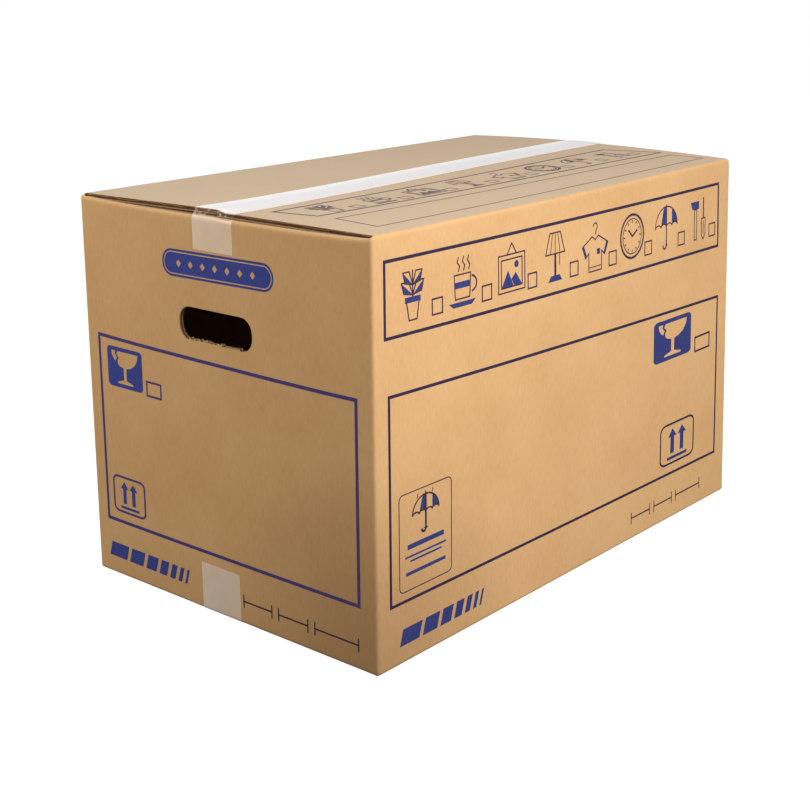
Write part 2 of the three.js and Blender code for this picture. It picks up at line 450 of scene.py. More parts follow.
def make_fluting(material, holes):
    """The fluted paper in every cut edge: three free edges of each flap, and both hand holes."""
    parts = []
    for k, (left, right) in enumerate(PANELS):
        for side in (-1, 1):
            start, tip = (WALL + GUSSET, WALL + TURN + FLAP) if side > 0 else (-TURN, -TURN - FLAP)
            cut_back = LOWER_CUT_BACK if side < 0 and k % 2 == 0 else 0
            a, b = left + cut_back, right - cut_back
            t = steps(min(start, tip), max(start, tip), EDGE_STEP)
            s = steps(a, b, EDGE_STEP)
            parts.append(fluting_strip(np.stack([np.full_like(t, a), t], -1), np.array([1, 0])))
            parts.append(fluting_strip(np.stack([np.full_like(t, b), t], -1), np.array([-1, 0])))
            parts.append(fluting_strip(np.stack([s, np.full_like(s, tip)], -1), np.array([0, -side])))
    for hole in holes:
        loop = np.concatenate([hole, hole[:1]])
        gap = np.linalg.norm(np.diff(loop, axis=0), axis=1)
        reach = np.concatenate([[0], np.cumsum(gap)])
        even = np.arange(0, reach[-1], EDGE_STEP * 0.6)
        line = np.stack([np.interp(even, reach, loop[:, k]) for k in (0, 1)], -1)
        along = np.gradient(line, axis=0)
        out = np.stack([along[:, 1], -along[:, 0]], -1)
        out /= np.linalg.norm(out, axis=1)[:, None]
        parts.append(fluting_strip(line, out))
    verts, faces, start = [], [], 0
    for points, quads in parts:
        verts.append(points)
        faces += [tuple(v + start for v in q) for q in quads]
        start += len(points)
    return make_mesh("board_fluting", np.concatenate(verts), faces, material)


# Print. Shapes are drawn in millimetres on a panel, across from its left edge and down from its top.
INK_PROUD = 0.07 * MM
SOLID, LINE, FINE = 0, 1, 2
FINE_WIDTH = 1.8
STROKE_STEP = 12
FIELD_RISE = 1.5


def arc(cx, cy, rx, ry, start, end, count):
    """Points on an ellipse from one angle to another, in degrees, anticlockwise as seen on the page."""
    angle = np.radians(np.linspace(start, end, count))
    return np.stack([cx + rx * np.cos(angle), cy - ry * np.sin(angle)], -1)


def rounded(left, top, right, bottom, radius, count):
    """A rectangle with round corners, as one closed loop."""
    xs, ys = (left + radius, right - radius), (top + radius, bottom - radius)
    spots = [(xs[1], ys[0], 0), (xs[0], ys[0], 90), (xs[0], ys[1], 180), (xs[1], ys[1], 270)]
    return np.concatenate([arc(x, y, radius, radius, turn, turn + 90, count) for x, y, turn in spots])


class Print:
    """Ink on one panel: strokes and filled shapes gathered in plane coordinates, each face with the
    number of its ink: a solid field, a line or a fine line."""

    def __init__(self):
        self.verts, self.faces, self.inks, self.count = [], [], [], 0

    def add(self, verts, faces, inks):
        """Corners and faces, with one ink for them all or one for each face."""
        self.verts.append(np.asarray(verts, float))
        self.faces += [tuple(int(v) + self.count for v in f) for f in faces]
        self.inks += inks if isinstance(inks, list) else [inks] * len(faces)
        self.count += len(verts)

    def stroke(self, points, width, closed=False):
        """A line of one width, mitred at its corners and cut into short lengths."""
        points = np.asarray(points, float)
        if closed:
            points = np.concatenate([points, points[:1]])
        dense = [points[:1]]
        for a, b in zip(points, points[1:]):
            parts = max(1, int(np.ceil(np.linalg.norm(b - a) / STROKE_STEP)))
            dense.append(a + (b - a) * (np.arange(1, parts + 1) / parts)[:, None])
        line = np.concatenate(dense)
        along = np.diff(line, axis=0)
        along /= np.maximum(np.linalg.norm(along, axis=1), 1e-9)[:, None]
        before = np.concatenate([along[-1:] if closed else along[:1], along])
        after = np.concatenate([along, along[:1] if closed else along[-1:]])
        side = np.stack([-(before + after)[:, 1], (before + after)[:, 0]], -1)
        side /= np.maximum(np.linalg.norm(side, axis=1), 1e-9)[:, None]
        square = np.stack([-before[:, 1], before[:, 0]], -1)
        mitre = np.clip((side * square).sum(1), 0.4, 1)[:, None]
        side = side / mitre * width / 2
        n = len(line)
        faces = [(i, i + 1, n + i + 1, n + i) for i in range(n - 1)]
        self.add(np.concatenate([line + side, line - side]), faces, LINE if width > FINE_WIDTH else FINE)

    def fill(self, *loops):
        """A filled shape; loops after the first are left bare."""
        verts, tris = filled([np.asarray(loop, float) for loop in loops])
        self.add(verts, tris, SOLID)

    def rect(self, left, top, right, bottom):
        """A filled rectangle."""
        self.fill([(left, top), (right, top), (right, bottom), (left, bottom)])

    def take(self, part, scale, x, y):
        """Another print's ink, scaled and moved."""
        self.add(np.concatenate(part.verts) * scale + (x, y), part.faces, part.inks)


def warped(points, corners):
    """Points given in the unit square, carried to a four-sided place: left top, right top, right
    bottom, left bottom."""
    p = np.asarray(points, float)
    u, v = p[:, :1], p[:, 1:]
    lt, rt, rb, lb = (np.array(c, float) for c in corners)
    return lt * (1 - u) * (1 - v) + rt * u * (1 - v) + rb * u * v + lb * (1 - u) * v


def fragile_mark(page, left, top, right, bottom, slant):
    """The common sign for fragile goods: a stemmed glass with a crack, bare on a round-cornered field."""
    place = [(left, top), (right, top + slant), (right, bottom + slant), (left, bottom)]

    def put(points):
        return warped(points, place)

    field = rounded(0, 0, 1, 1, 0.1, 6)
    bowl = np.array([(0.30, 0.10), (0.88, 0.10), (0.86, 0.24), (0.78, 0.38), (0.66, 0.47), (0.54, 0.50),
                     (0.54, 0.80), (0.72, 0.86), (0.72, 0.90), (0.28, 0.90), (0.28, 0.86), (0.46, 0.80),
                     (0.46, 0.50), (0.36, 0.47), (0.31, 0.43), (0.29, 0.34), (0.33, 0.26), (0.27, 0.18)])
    chip = np.array([(0.12, 0.10), (0.24, 0.10), (0.22, 0.18), (0.28, 0.26), (0.24, 0.35), (0.19, 0.31),
                     (0.14, 0.22)])
    page.fill(put(field), put(bowl), put(chip))


def upright_mark(page, left, top, right, bottom, slant):
    """The common sign for this way up: two arrows over a bar, in a round-cornered outline."""
    place = [(left, top), (right, top + slant), (right, bottom + slant), (left, bottom)]
    page.stroke(warped(rounded(0.03, 0.03, 0.97, 0.97, 0.14, 6), place), 2.2, closed=True)
    for x in (0.36, 0.63):
        arrow = [(x, 0.15), (x + 0.12, 0.34), (x + 0.05, 0.34), (x + 0.05, 0.74), (x - 0.05, 0.74),
                 (x - 0.05, 0.34), (x - 0.12, 0.34)]
        page.fill(warped(arrow, place))
    page.fill(warped([(0.22, 0.81), (0.78, 0.81), (0.78, 0.88), (0.22, 0.88)], place))


def tick_box(page, left, top, right, bottom, width):
    """A bare box to tick."""
    page.stroke([(left, top), (right, top), (right, bottom), (left, bottom)], width, closed=True)


# Household things, each drawn round its own middle with lines of width w.
def icon_plant(page, w):
    """A plant in a pot: four folded leaves over a tapered pot with a solid rim."""
    page.rect(-7, 2, 7, 5.5)
    page.stroke([(-5.5, 5.5), (-3.5, 16), (3.5, 16), (5.5, 5.5)], w)
    page.stroke([(0, 2), (0, -14)], w)
    for side in (-1, 1):
        for low, reach in ((1, 10), (-5, 8.5)):
            root, tip = (0, low), (side * reach, low - 8)
            upper, lower = (side * reach * 0.35, low - 8), (side * reach * 0.8, low - 1.5)
            page.stroke([root, upper, tip, lower], w, True)
            page.fill([root, tip, lower])


def icon_lamp(page, w):
    """A table lamp: a pleated shade on a stem, with a pull cord and a solid foot."""
    page.stroke([(-6, -16), (6, -16), (11, -2), (-11, -2)], w, True)
    page.stroke([(0, -16), (0, -2)], w * 0.7)
    for side in (-1, 1):
        page.stroke([(3 * side, -16), (5.5 * side, -2)], w * 0.7)
    page.stroke([(0, -2), (0, 13)], w * 2.2)
    page.fill([(-8, 16.5), (-5, 12.5), (5, 12.5), (8, 16.5)])
    page.stroke([(5, -2), (5, 6)], w * 0.8)


def icon_mug(page, w):
    """A banded mug on a saucer with steam over it."""
    page.stroke([(-10, -4), (6, -4), (5, 11), (-9, 11)], w, True)
    page.rect(-9.6, 0.5, 5.6, 4.5)
    page.stroke(arc(6, 3, 6, 5, 80, -80, 10), w * 1.3)
    page.fill([(-15, 13), (11, 13), (7, 16), (-11, 16)])
    for at in (-6, -1, 4):
        page.stroke([(at, -6), (at + 1.5, -9), (at - 1, -12), (at + 0.5, -15)], w)


def icon_picture(page, w):
    """A hung picture: a double frame with two hills and a sun."""
    tick_box(page, -14, -9, 14, 15, w)
    tick_box(page, -11, -6, 11, 12, w)
    page.stroke([(-5, -9), (0, -16), (5, -9)], w)
    page.fill([(-11, 12), (-4, 1), (2, 12)])
    page.fill([(2.6, 12), (-0.4, 7), (4, 3), (11, 12)])
    page.fill(arc(5, -2, 2.4, 2.4, 0, 324, 10))


def icon_clock(page, w):
    """A wall clock: two rings, twelve marks and two hands."""
    page.stroke(arc(0, 0, 15.5, 15.5, 0, 345, 24), w * 1.8, True)
    page.stroke(arc(0, 0, 12.5, 12.5, 0, 345, 24), w * 0.8, True)
    for angle in range(0, 360, 30):
        c, s = math.cos(math.radians(angle)), math.sin(math.radians(angle))
        page.stroke([(9.5 * c, 9.5 * s), (11.5 * c, 11.5 * s)], w)
    page.stroke([(-5, -5), (0, 0), (7, -4)], w * 1.6)


def icon_hanger(page, w):
    """A shirt on a hanger, with solid sleeves' ends and a pocket."""
    page.stroke(np.concatenate([arc(0, -13.5, 2.5, 2.5, 180, -60, 9), [(0, -8)]]), w)
    page.stroke([(-4, -7), (-16, -1), (-12, 7), (-8, 4), (-8, 17), (8, 17), (8, 4), (12, 7), (16, -1),
                 (4, -7), (0, -4.5)], w, True)
    for side in (-1, 1):
        page.fill([(16 * side, -1), (12 * side, 7), (10.4 * side, 5.8), (14 * side, -2)])
    page.rect(2, 2, 6, 6)
    page.stroke([(-8, 14), (8, 14)], w * 0.7)


def icon_umbrella(page, w):
    """An open umbrella with two solid panels and a hooked handle."""
    page.stroke(arc(0, 0, 16, 15, 0, 180, 18), w)
    for k in range(4):
        page.stroke(arc(8 * k - 12, 0, 4, 2.4, 0, 180, 7), w)
    for k, lean in ((1, 0.55), (3, 1.0)):
        ats = np.linspace(8 * k - 16, 8 * k - 8, 6)
        dome = [(at * lean, -15 * math.sqrt(max(0.0, 1 - (at / 16) ** 2))) for at in ats]
        page.fill(np.concatenate([arc(8 * k - 12, 0, 4, 2.4, 0, 180, 7), dome]))
    page.stroke(np.concatenate([[(0, -16.5), (0, 13)], arc(-2.5, 13, 2.5, 3, 0, -180, 8)]), w * 1.4)


def icon_tools(page, w):
    """A hammer with a solid head beside a screwdriver."""
    page.fill([(-12, -13), (1, -13), (1, -7), (-9, -7)])
    page.stroke([(-6, -7), (-6, 16), (-2.5, 16), (-2.5, -7)], w, True)
    page.stroke([(8, -15), (8, 1)], w * 1.6)
    page.stroke([(5, 1), (11, 1), (11, 13), (8, 17), (5, 13)], w, True)
    page.stroke([(8, 3), (8, 13)], w)


ICONS = [icon_plant, icon_mug, icon_picture, icon_lamp, icon_hanger, icon_clock, icon_umbrella, icon_tools]


def icon_row(page, left, right, level, tilt, w, scale):
    """Eight plain household things in a row, each with a tick box at its lower right."""
    for k, icon in enumerate(ICONS):
        x = left + (right - left) * (k + 0.42) / len(ICONS)
        y = level + tilt * (x - left)
        part = Print()
        icon(part, w / scale)
        tick_box(part, 17.5, 7, 27, 16.5, 1.5 / scale)
        page.take(part, scale, x, y)


def long_side_print():
    """Both frames of a long side, the row of things, the handling signs and the plain label."""
    page = Print()
    page.stroke([(13.5, 20.7), (525.7, 22.4), (526.7, 85.1), (13.2, 79.6)], 2.7, closed=True)
    page.stroke([(16.7, 125.4), (528.2, 137.5), (527.8, 302.4), (16.2, 296.8)], 2.7, closed=True)
    icon_row(page, 19, 521, 49.1, 0.005, 1.3, 1.3)
    fragile_mark(page, 400.5, 141.8, 473.3, 182.9, 0.7)
    tick_box(page, 482, 171.3, 512, 185.7, 2.0)
    upright_mark(page, 415, 248.7, 484.5, 292.3, 0.4)
    plain_label(page, 26.5, 207.6, 89.7, 289)
    stripe_block(page, 26, 320, 0.9)
    size_block(page, 365, 322)
    return page


def end_print():
    """The frame of an end panel, its signs, and the plain blue field over the hand hole."""
    page = Print()
    page.stroke([(17.5, 121.9), (331.9, 125.0), (331.4, 294.5), (17.5, 296.0)], 3.2, closed=True)
    fragile_mark(page, 28.2, 129.8, 77, 166.8, -0.5)
    tick_box(page, 82.5, 154.2, 101.4, 167.0, 1.9)
    upright_mark(page, 26, 251, 72.8, 286.8, 0)
    blue_field(page, 111, 30.8, 246, 54.4)
    stripe_block(page, 16, 319, 0.95)
    size_block(page, 198, 322.5)
    return page


def blue_field(page, left, top, right, bottom):
    """A plain round-ended field with a bare line inside its edge and a row of small bare squares. It
    rises a little to the right."""
    def put(points):
        points = np.asarray(points, float)
        return points - (0, FIELD_RISE) * (points[:, :1] - left) / (right - left)

    radius = (bottom - top) / 2 - 0.01
    line = rounded(left + 2, top + 2, right - 2, bottom - 2, radius - 2, 9)
    inner = rounded(left + 3, top + 3, right - 3, bottom - 3, radius - 3, 9)
    middle = (top + bottom) / 2
    squares = []
    for k in range(7):
        x = left + 21 + k * 15
        squares.append([(x - 3, middle), (x, middle - 3.4), (x + 3, middle), (x, middle + 3.4)])
    page.fill(put(rounded(left, top, right, bottom, radius, 9)), put(line))
    page.fill(put(inner), *[put(square) for square in squares])


def plain_label(page, left, top, right, bottom):
    """A round-cornered outline with an umbrella under raindrops and four bars of ink below it."""
    page.stroke(rounded(left, top, right, bottom, 4.5, 5), 1.0, closed=True)
    x, y = (left + right) / 2, top + 21
    sign = Print()
    icon_umbrella(sign, 1.5)
    page.take(sign, 1.0, x, y)
    for dx in (-9, 0, 9):
        page.stroke([(x + dx, y - 17.5), (x + dx - 1.6, y - 13.8)], 1.0)
    for top_of, half, high in ((43, 22, 4.2), (52.5, 25, 1.7), (56.5, 19, 1.7), (66, 24, 3.0)):
        page.rect(x - half, top + top_of, x + half, top + top_of + high)


def stripe_block(page, left, top, scale):
    """Slanted strokes of falling width, as a plain decorative stripe."""
    x = left
    lean = 4.5 * scale
    for width in (26, 20, 15, 11, 7.5, 5, 3):
        wide = width * scale
        page.fill([(x + lean, top), (x + lean + wide, top), (x + wide, top + 14), (x, top + 14)])
        x += (width + 4.5) * scale


def size_block(page, left, top):
    """Three short dimension lines, each a bar between two end strokes."""
    x = left
    for width in (34, 34, 48):
        page.stroke([(x, top + 6), (x + width, top + 6)], 1.6)
        for end in (x, x + width):
            page.stroke([(end, top), (end, top + 12)], 1.4)
        x += width + 8


def top_print():
    """The near top flap's print: the framed row of things and a plain frame, seen from the long side."""
    page = Print()
    page.stroke([(31.6, 38.0), (505.5, 43.5), (529.5, 101.6), (40.1, 81.0)], 2.9, closed=True)
    icon_row(page, 45, 512, 59.5, 0.028, 1.75, 1.1)
    page.stroke([(40.9, 100.0), (523.0, 118.2), (529.7, 153.1), (35.8, 149.0)], 1.7, closed=True)
    return page


def lay_print(name, page, inks, start, on_top=False):
    """Carries a page on to the sheet, just proud of it. A wall's page is measured down from the box's
    top; the top flap's is measured from the seam out to the fold."""
    points = np.concatenate(page.verts) * MM
    s = start + points[:, 0] - FOLD
    t = WALL + TURN + FLAP + SEAM_GAP / 2 - points[:, 1] if on_top else HEIGHT - FOLD - points[:, 1]
    verts = sheet(s, t, -INK_PROUD)
    faces = page.faces
    p = verts[[f[0] for f in faces]], verts[[f[1] for f in faces]], verts[[f[2] for f in faces]]
    up = np.cross(p[1] - p[0], p[2] - p[0])
    probe = sheet(s, t, -1 * MM) - sheet(s, t, 0)
    wrong = (up * probe[[f[0] for f in faces]]).sum(1) < 0
    faces = [f[::-1] if w else f for f, w in zip(faces, wrong)]
    sheet_print = make_mesh(name, verts, faces, inks[0], uv=np.stack([s, t], -1))
    for ink in inks[1:]:
        sheet_print.data.materials.append(ink)
    sheet_print.data.polygons.foreach_set("material_index", page.inks)
    return sheet_print


# Tape: its size and place, and how far the film stands off the board, wavers along its edges, is
# creased where it bridges a gap, is pressed into the seam and drifts along the lid.
TAPE_WIDTH = 48 * MM
TOP_TAIL, BOTTOM_TAIL = 32 * MM, 44 * MM
BOTTOM_TAPE_Y = 5 * MM
FILM_PROUD = 0.16 * MM
TAPE_WAVER = 0.25 * MM
TAPE_CREASE = 0.55 * MM
TAPE_TUCK = 0.25 * MM
TAPE_DRIFT = 11 * MM


def tape_line(tail, step):
    """Half the course of tape over a seam, as points across and up from the flaps' face: level to the
    flap's end, straight down to where it meets the fold below, round that and down the end panel. step
    is how far the end panel's fold lies below the flap."""
    across = HALF_X - FOLD
    round_ = FOLD + FILM_PROUD
    drop = step + FOLD
    along = steps(0, across, 8 * MM)
    level = np.stack([along, np.full(len(along), FILM_PROUD)], -1)
    beside, above = fold_curve(np.radians(np.linspace(90, 0, 31)))
    bend = np.stack([across + round_ * beside, -drop + round_ * above], -1)
    steepness = (FILM_PROUD - bend[:, 1]) / np.maximum(bend[:, 0] - across, 1e-6)
    bend = bend[steepness.argmin():][::2]
    bridge = np.linspace(level[-1], bend[0], 8)[1:-1]
    end = steps(drop, tail, 2.5 * MM)[1:]
    down = np.stack([np.full(len(end), across + round_), -end], -1)
    return np.concatenate([level, bridge, bend, down])


def make_tape(name, tail, middle, upper, material, seed):
    """Clear film over a seam: the tape's course carried across its width, following the flaps and the
    end panels, with creases where it bridges from flap to panel and edges that waver a little."""
    half = tape_line(tail, LAYER if upper else LOWER_STEP)
    line = np.concatenate([half[:0:-1] * (-1, 1), half])
    across = np.linspace(-1, 1, 25)
    x, v = np.meshgrid(line[:, 0], across, indexing="ij")
    up = np.repeat(line[:, 1][:, None], len(across), 1)
    reach = np.concatenate([[0], np.cumsum(np.linalg.norm(np.diff(line, axis=0), axis=1))])
    waver = TAPE_WAVER * ripple(reach, seed, 90 * MM)
    drift = TAPE_DRIFT * smooth(x, -HALF_X, 0.2 * HALF_X) if upper else 0
    y = middle + drift + v * TAPE_WIDTH / 2 + waver[:, None]
    loose = np.zeros_like(x)
    if upper:
        bridging = np.clip(1 - np.abs(-up / LAYER - 0.45) / 0.6, 0, 1) * (np.abs(x) > HALF_X - FOLD - MM)
        loose = smooth(-up / LAYER, 0.0, 0.15) * (1 - smooth(-up / LAYER, 0.95, 1.2))
        crease = bridging * ripple(y + 0.3 * up, seed + 1, 11 * MM) * TAPE_CREASE
        x = x + np.sign(x) * (crease + 0.25 * MM * bridging)
        on_top = smooth(up, -LAYER - FOLD, 0)
        lift = top_lift(np.clip(x, -HALF_X, HALF_X), y, 14 * MM)
        tuck = smooth(np.abs(y), 2.5 * MM, 0) * TAPE_TUCK * (np.abs(x) < HALF_X - 12 * MM)
        z = HEIGHT + up + (lift + 0.05 * MM) * on_top - tuck
    else:
        z = -up
    points = settle(np.stack([x, y, z], -1)) + (0, 0, LIFT if upper else LIFT + 0.03 * MM)
    if not upper:
        points[..., 2] = np.maximum(points[..., 2], 0.02 * MM)
    rows, cols = points.shape[:2]
    index = np.arange(rows * cols).reshape(rows, cols)
    faces = np.stack([index[:-1, :-1], index[1:, :-1], index[1:, 1:], index[:-1, 1:]], -1).reshape(-1, 4)
    if not upper:
        faces = faces[:, ::-1]
    uv = np.stack([np.repeat(reach[:, None], cols, 1).ravel(), (v * TAPE_WIDTH / 2).ravel()], -1)
    return make_mesh(name, points.reshape(-1, 3), faces, material, uv=uv, angle=60, values={"loose": loose})


# Materials, with the sizes of their patterns: the clouds and fibres of the liner's pulp, the washboard
# lines where it is glued to the flutes, the torn grain of cut edges, the flecks in ink, the bubbles in the
# tape's glue, its pale side edges and the painted glints on its creases. Real fibres, grain and flecks are
# finer: they are drawn as coarse as they need to show. The washboard lines are 2 pi times as far apart as
# real ones, which lie at the flutes' pitch.
PULP_CLOUD = 71.43 * MM
FIBRE_WIDTH, FIBRE_LENGTH = 2.381 * MM, 8.333 * MM
WASHBOARD = 2 * math.pi * FLUTE_PITCH
TORN_GRAIN = 1.4286 * MM
INK_FLECK = 2 * MM
GLUE_BUBBLE = 11.11 * MM
PALE_EDGE = 1.2 * MM
FILM_CREASE_GLINT = 3.846 * MM
# What the bands of a wave texture repeat after, at its own scale.
WAVE_PERIOD = 2 * math.pi / 20


def add(tree, node, values=None):
    """Sets up a node, given itself or as the kind of a new one, and returns its outputs. Each value goes
    to a property or to an input, as a constant or as a link from another node's output. A colour ramp's
    stops are pairs of place and colour, a number being a shade of grey."""
    if isinstance(node, str):
        node = tree.nodes.new(node)
    for key, value in (values or {}).items():
        if key == "stops":
            elements = node.color_ramp.elements
            while len(elements) < len(value):
                elements.new(0.5)
            for element, (at, colour) in zip(elements, value):
                element.position = at
                element.color = srgb(colour) if isinstance(colour, str) else (colour, colour, colour, 1)
        elif isinstance(value, bpy.types.NodeSocket):
            tree.links.new(value, node.inputs[key])
        elif isinstance(key, str) and hasattr(node, key):
            setattr(node, key, value)
        else:
            node.inputs[key].default_value = value
    return node.outputs


def new_material(name):
    """A material with a bare Principled shader; returns it, its tree, the shader and the texture's
    coordinates."""
    material = bpy.data.materials.new(name)
    material.use_nodes = True
    tree = material.node_tree
    return material, tree, tree.nodes["Principled BSDF"], add(tree, "ShaderNodeTexCoord")


def painted_sheen_share(tree, most):
    """How much painted sheen is mixed into a colour: none straight on, and the most at a slant."""
    facing = add(tree, "ShaderNodeLayerWeight", {"Blend": 0.5})["Facing"]
    return add(tree, "ShaderNodeValToRGB", {"Fac": facing, "stops": [(0.62, 0.0), (0.82, most)]})["Color"]


# Painted shade: how much the board is darkened by its distance from one lower corner, the ramp running
# from none to the reach.
SHADED_CORNER = (-HALF_X, -HALF_Y, 0)
CORNER_SHADE_REACH = 250 * MM
CORNER_SHADE_RAMP = [(0.0, "#D1CECD"), (0.3, "#E2DFDE"), (0.7, "#FFFFFF")]


def kraft_liner():
    """Kraft linerboard: unbleached paper pressed on a wire. Matt, warm brown, with short fibres, cloudy
    pulp and the faint lines of the flutes that it is glued to; painted shade darkens it towards one lower
    corner and a painted sheen pales it at a slant."""
    material, tree, shader, coords = new_material("kraft_liner")
    place, uv = coords["Object"], coords["UV"]
    cloud = add(tree, "ShaderNodeTexNoise", {
        "Vector": place, "Scale": 1 / PULP_CLOUD, "Detail": 6.0, "Roughness": 0.6,
    })["Fac"]
    stretched = add(tree, "ShaderNodeMapping", {
        "Vector": uv, "Scale": (1 / FIBRE_WIDTH, 1 / FIBRE_LENGTH, 1.0),
    })["Vector"]
    fibre = add(tree, "ShaderNodeTexNoise", {
        "Vector": stretched, "Scale": 1.0, "Detail": 4.0, "Roughness": 0.7,
    })["Fac"]
    pulp = add(tree, "ShaderNodeValToRGB", {"Fac": cloud, "stops": [(0.3, "#CF9E66"), (0.7, "#DDB07A")]})
    strands = add(tree, "ShaderNodeValToRGB", {
        "Fac": fibre, "stops": [(0.25, "#C99A68"), (0.75, "#E4B985")],
    })
    paper = add(tree, "ShaderNodeMix", {
        "data_type": "RGBA", "Factor": 0.45, "A": pulp["Color"], "B": strands["Color"],
    })["Result"]
    # Painted sheen: at a slant the paper is mixed towards a pale grey.
    sheened_paper = add(tree, "ShaderNodeMix", {
        "data_type": "RGBA", "Factor": painted_sheen_share(tree, 0.6), "A": paper, "B": srgb("#C1B4A1"),
    })["Result"]
    # Painted shade: the paper is darkened towards one lower corner.
    reach = add(tree, "ShaderNodeVectorMath", {"operation": "DISTANCE", 0: place, 1: SHADED_CORNER})["Value"]
    share = add(tree, "ShaderNodeMath", {"operation": "MULTIPLY", 0: reach, 1: 1 / CORNER_SHADE_REACH})["Value"]
    corner_shade = add(tree, "ShaderNodeValToRGB", {"Fac": share, "stops": CORNER_SHADE_RAMP})["Color"]
    shaded_paper = add(tree, "ShaderNodeMix", {
        "data_type": "RGBA", "blend_type": "MULTIPLY", "Factor": 1.0, "A": sheened_paper, "B": corner_shade,
    })["Result"]
    along = add(tree, "ShaderNodeMapping", {"Vector": uv, "Scale": (WAVE_PERIOD / WASHBOARD, 0.0, 0.0)})
    lines = add(tree, "ShaderNodeTexWave", {"Vector": along["Vector"], "Scale": 1.0, "Distortion": 0.0})
    wash = add(tree, "ShaderNodeBump", {"Height": lines["Fac"], "Strength": 0.25, "Distance": 0.05 * MM})
    fuzz = add(tree, "ShaderNodeBump", {
        "Height": fibre, "Strength": 0.35, "Distance": 0.08 * MM, "Normal": wash["Normal"],
    })
    add(tree, shader, {
        "Base Color": shaded_paper, "Normal": fuzz["Normal"], "Roughness": 0.72, "Specular IOR Level": 0.35,
    })
    return material


def cut_board(name, dark, light):
    """Cut corrugated board: torn paper edges, darker and duller than the face, with loose fibres.
    Given dark colours, it is the painted shade in the open flutes' hollow.
    """
    material, tree, shader, coords = new_material(name)
    grain = add(tree, "ShaderNodeTexNoise", {
        "Vector": coords["Object"], "Scale": 1 / TORN_GRAIN, "Detail": 4.0,
    })["Fac"]
    colour = add(tree, "ShaderNodeValToRGB", {"Fac": grain, "stops": [(0.3, dark), (0.7, light)]})["Color"]
    torn = add(tree, "ShaderNodeBump", {"Height": grain, "Strength": 0.6, "Distance": 0.3 * MM})["Normal"]
    add(tree, shader, {"Base Color": colour, "Normal": torn, "Roughness": 0.9})
    return material


def flexo_ink(name, deep, thin, showing):
    """Water-based ink printed by a soft plate on kraft: matt and thin enough that the paper's fibres show
    through as paler flecks, more in a fine line than in a solid. At a slant a painted sheen pales it."""
    material, tree, shader, coords = new_material(name)
    flecks = add(tree, "ShaderNodeTexNoise", {
        "Vector": coords["Object"], "Scale": 1 / INK_FLECK, "Detail": 5.0, "Roughness": 0.7,
    })["Fac"]
    colour = add(tree, "ShaderNodeValToRGB", {
        "Fac": flecks, "stops": [(showing, deep), (showing + 0.35, thin)],
    })["Color"]
    # Painted sheen: at a slant the ink is mixed towards a pale brownish grey.
    sheened_ink = add(tree, "ShaderNodeMix", {
        "data_type": "RGBA", "Factor": painted_sheen_share(tree, 0.3), "A": colour, "B": srgb("#7A6A62"),
    })["Result"]
    uneven = add(tree, "ShaderNodeBump", {"Height": flecks, "Strength": 0.2, "Distance": 0.05 * MM})
    add(tree, shader, {
        "Base Color": sheened_ink, "Normal": uneven["Normal"], "Roughness": 0.65, "Specular IOR Level": 0.25,
    })
    return material


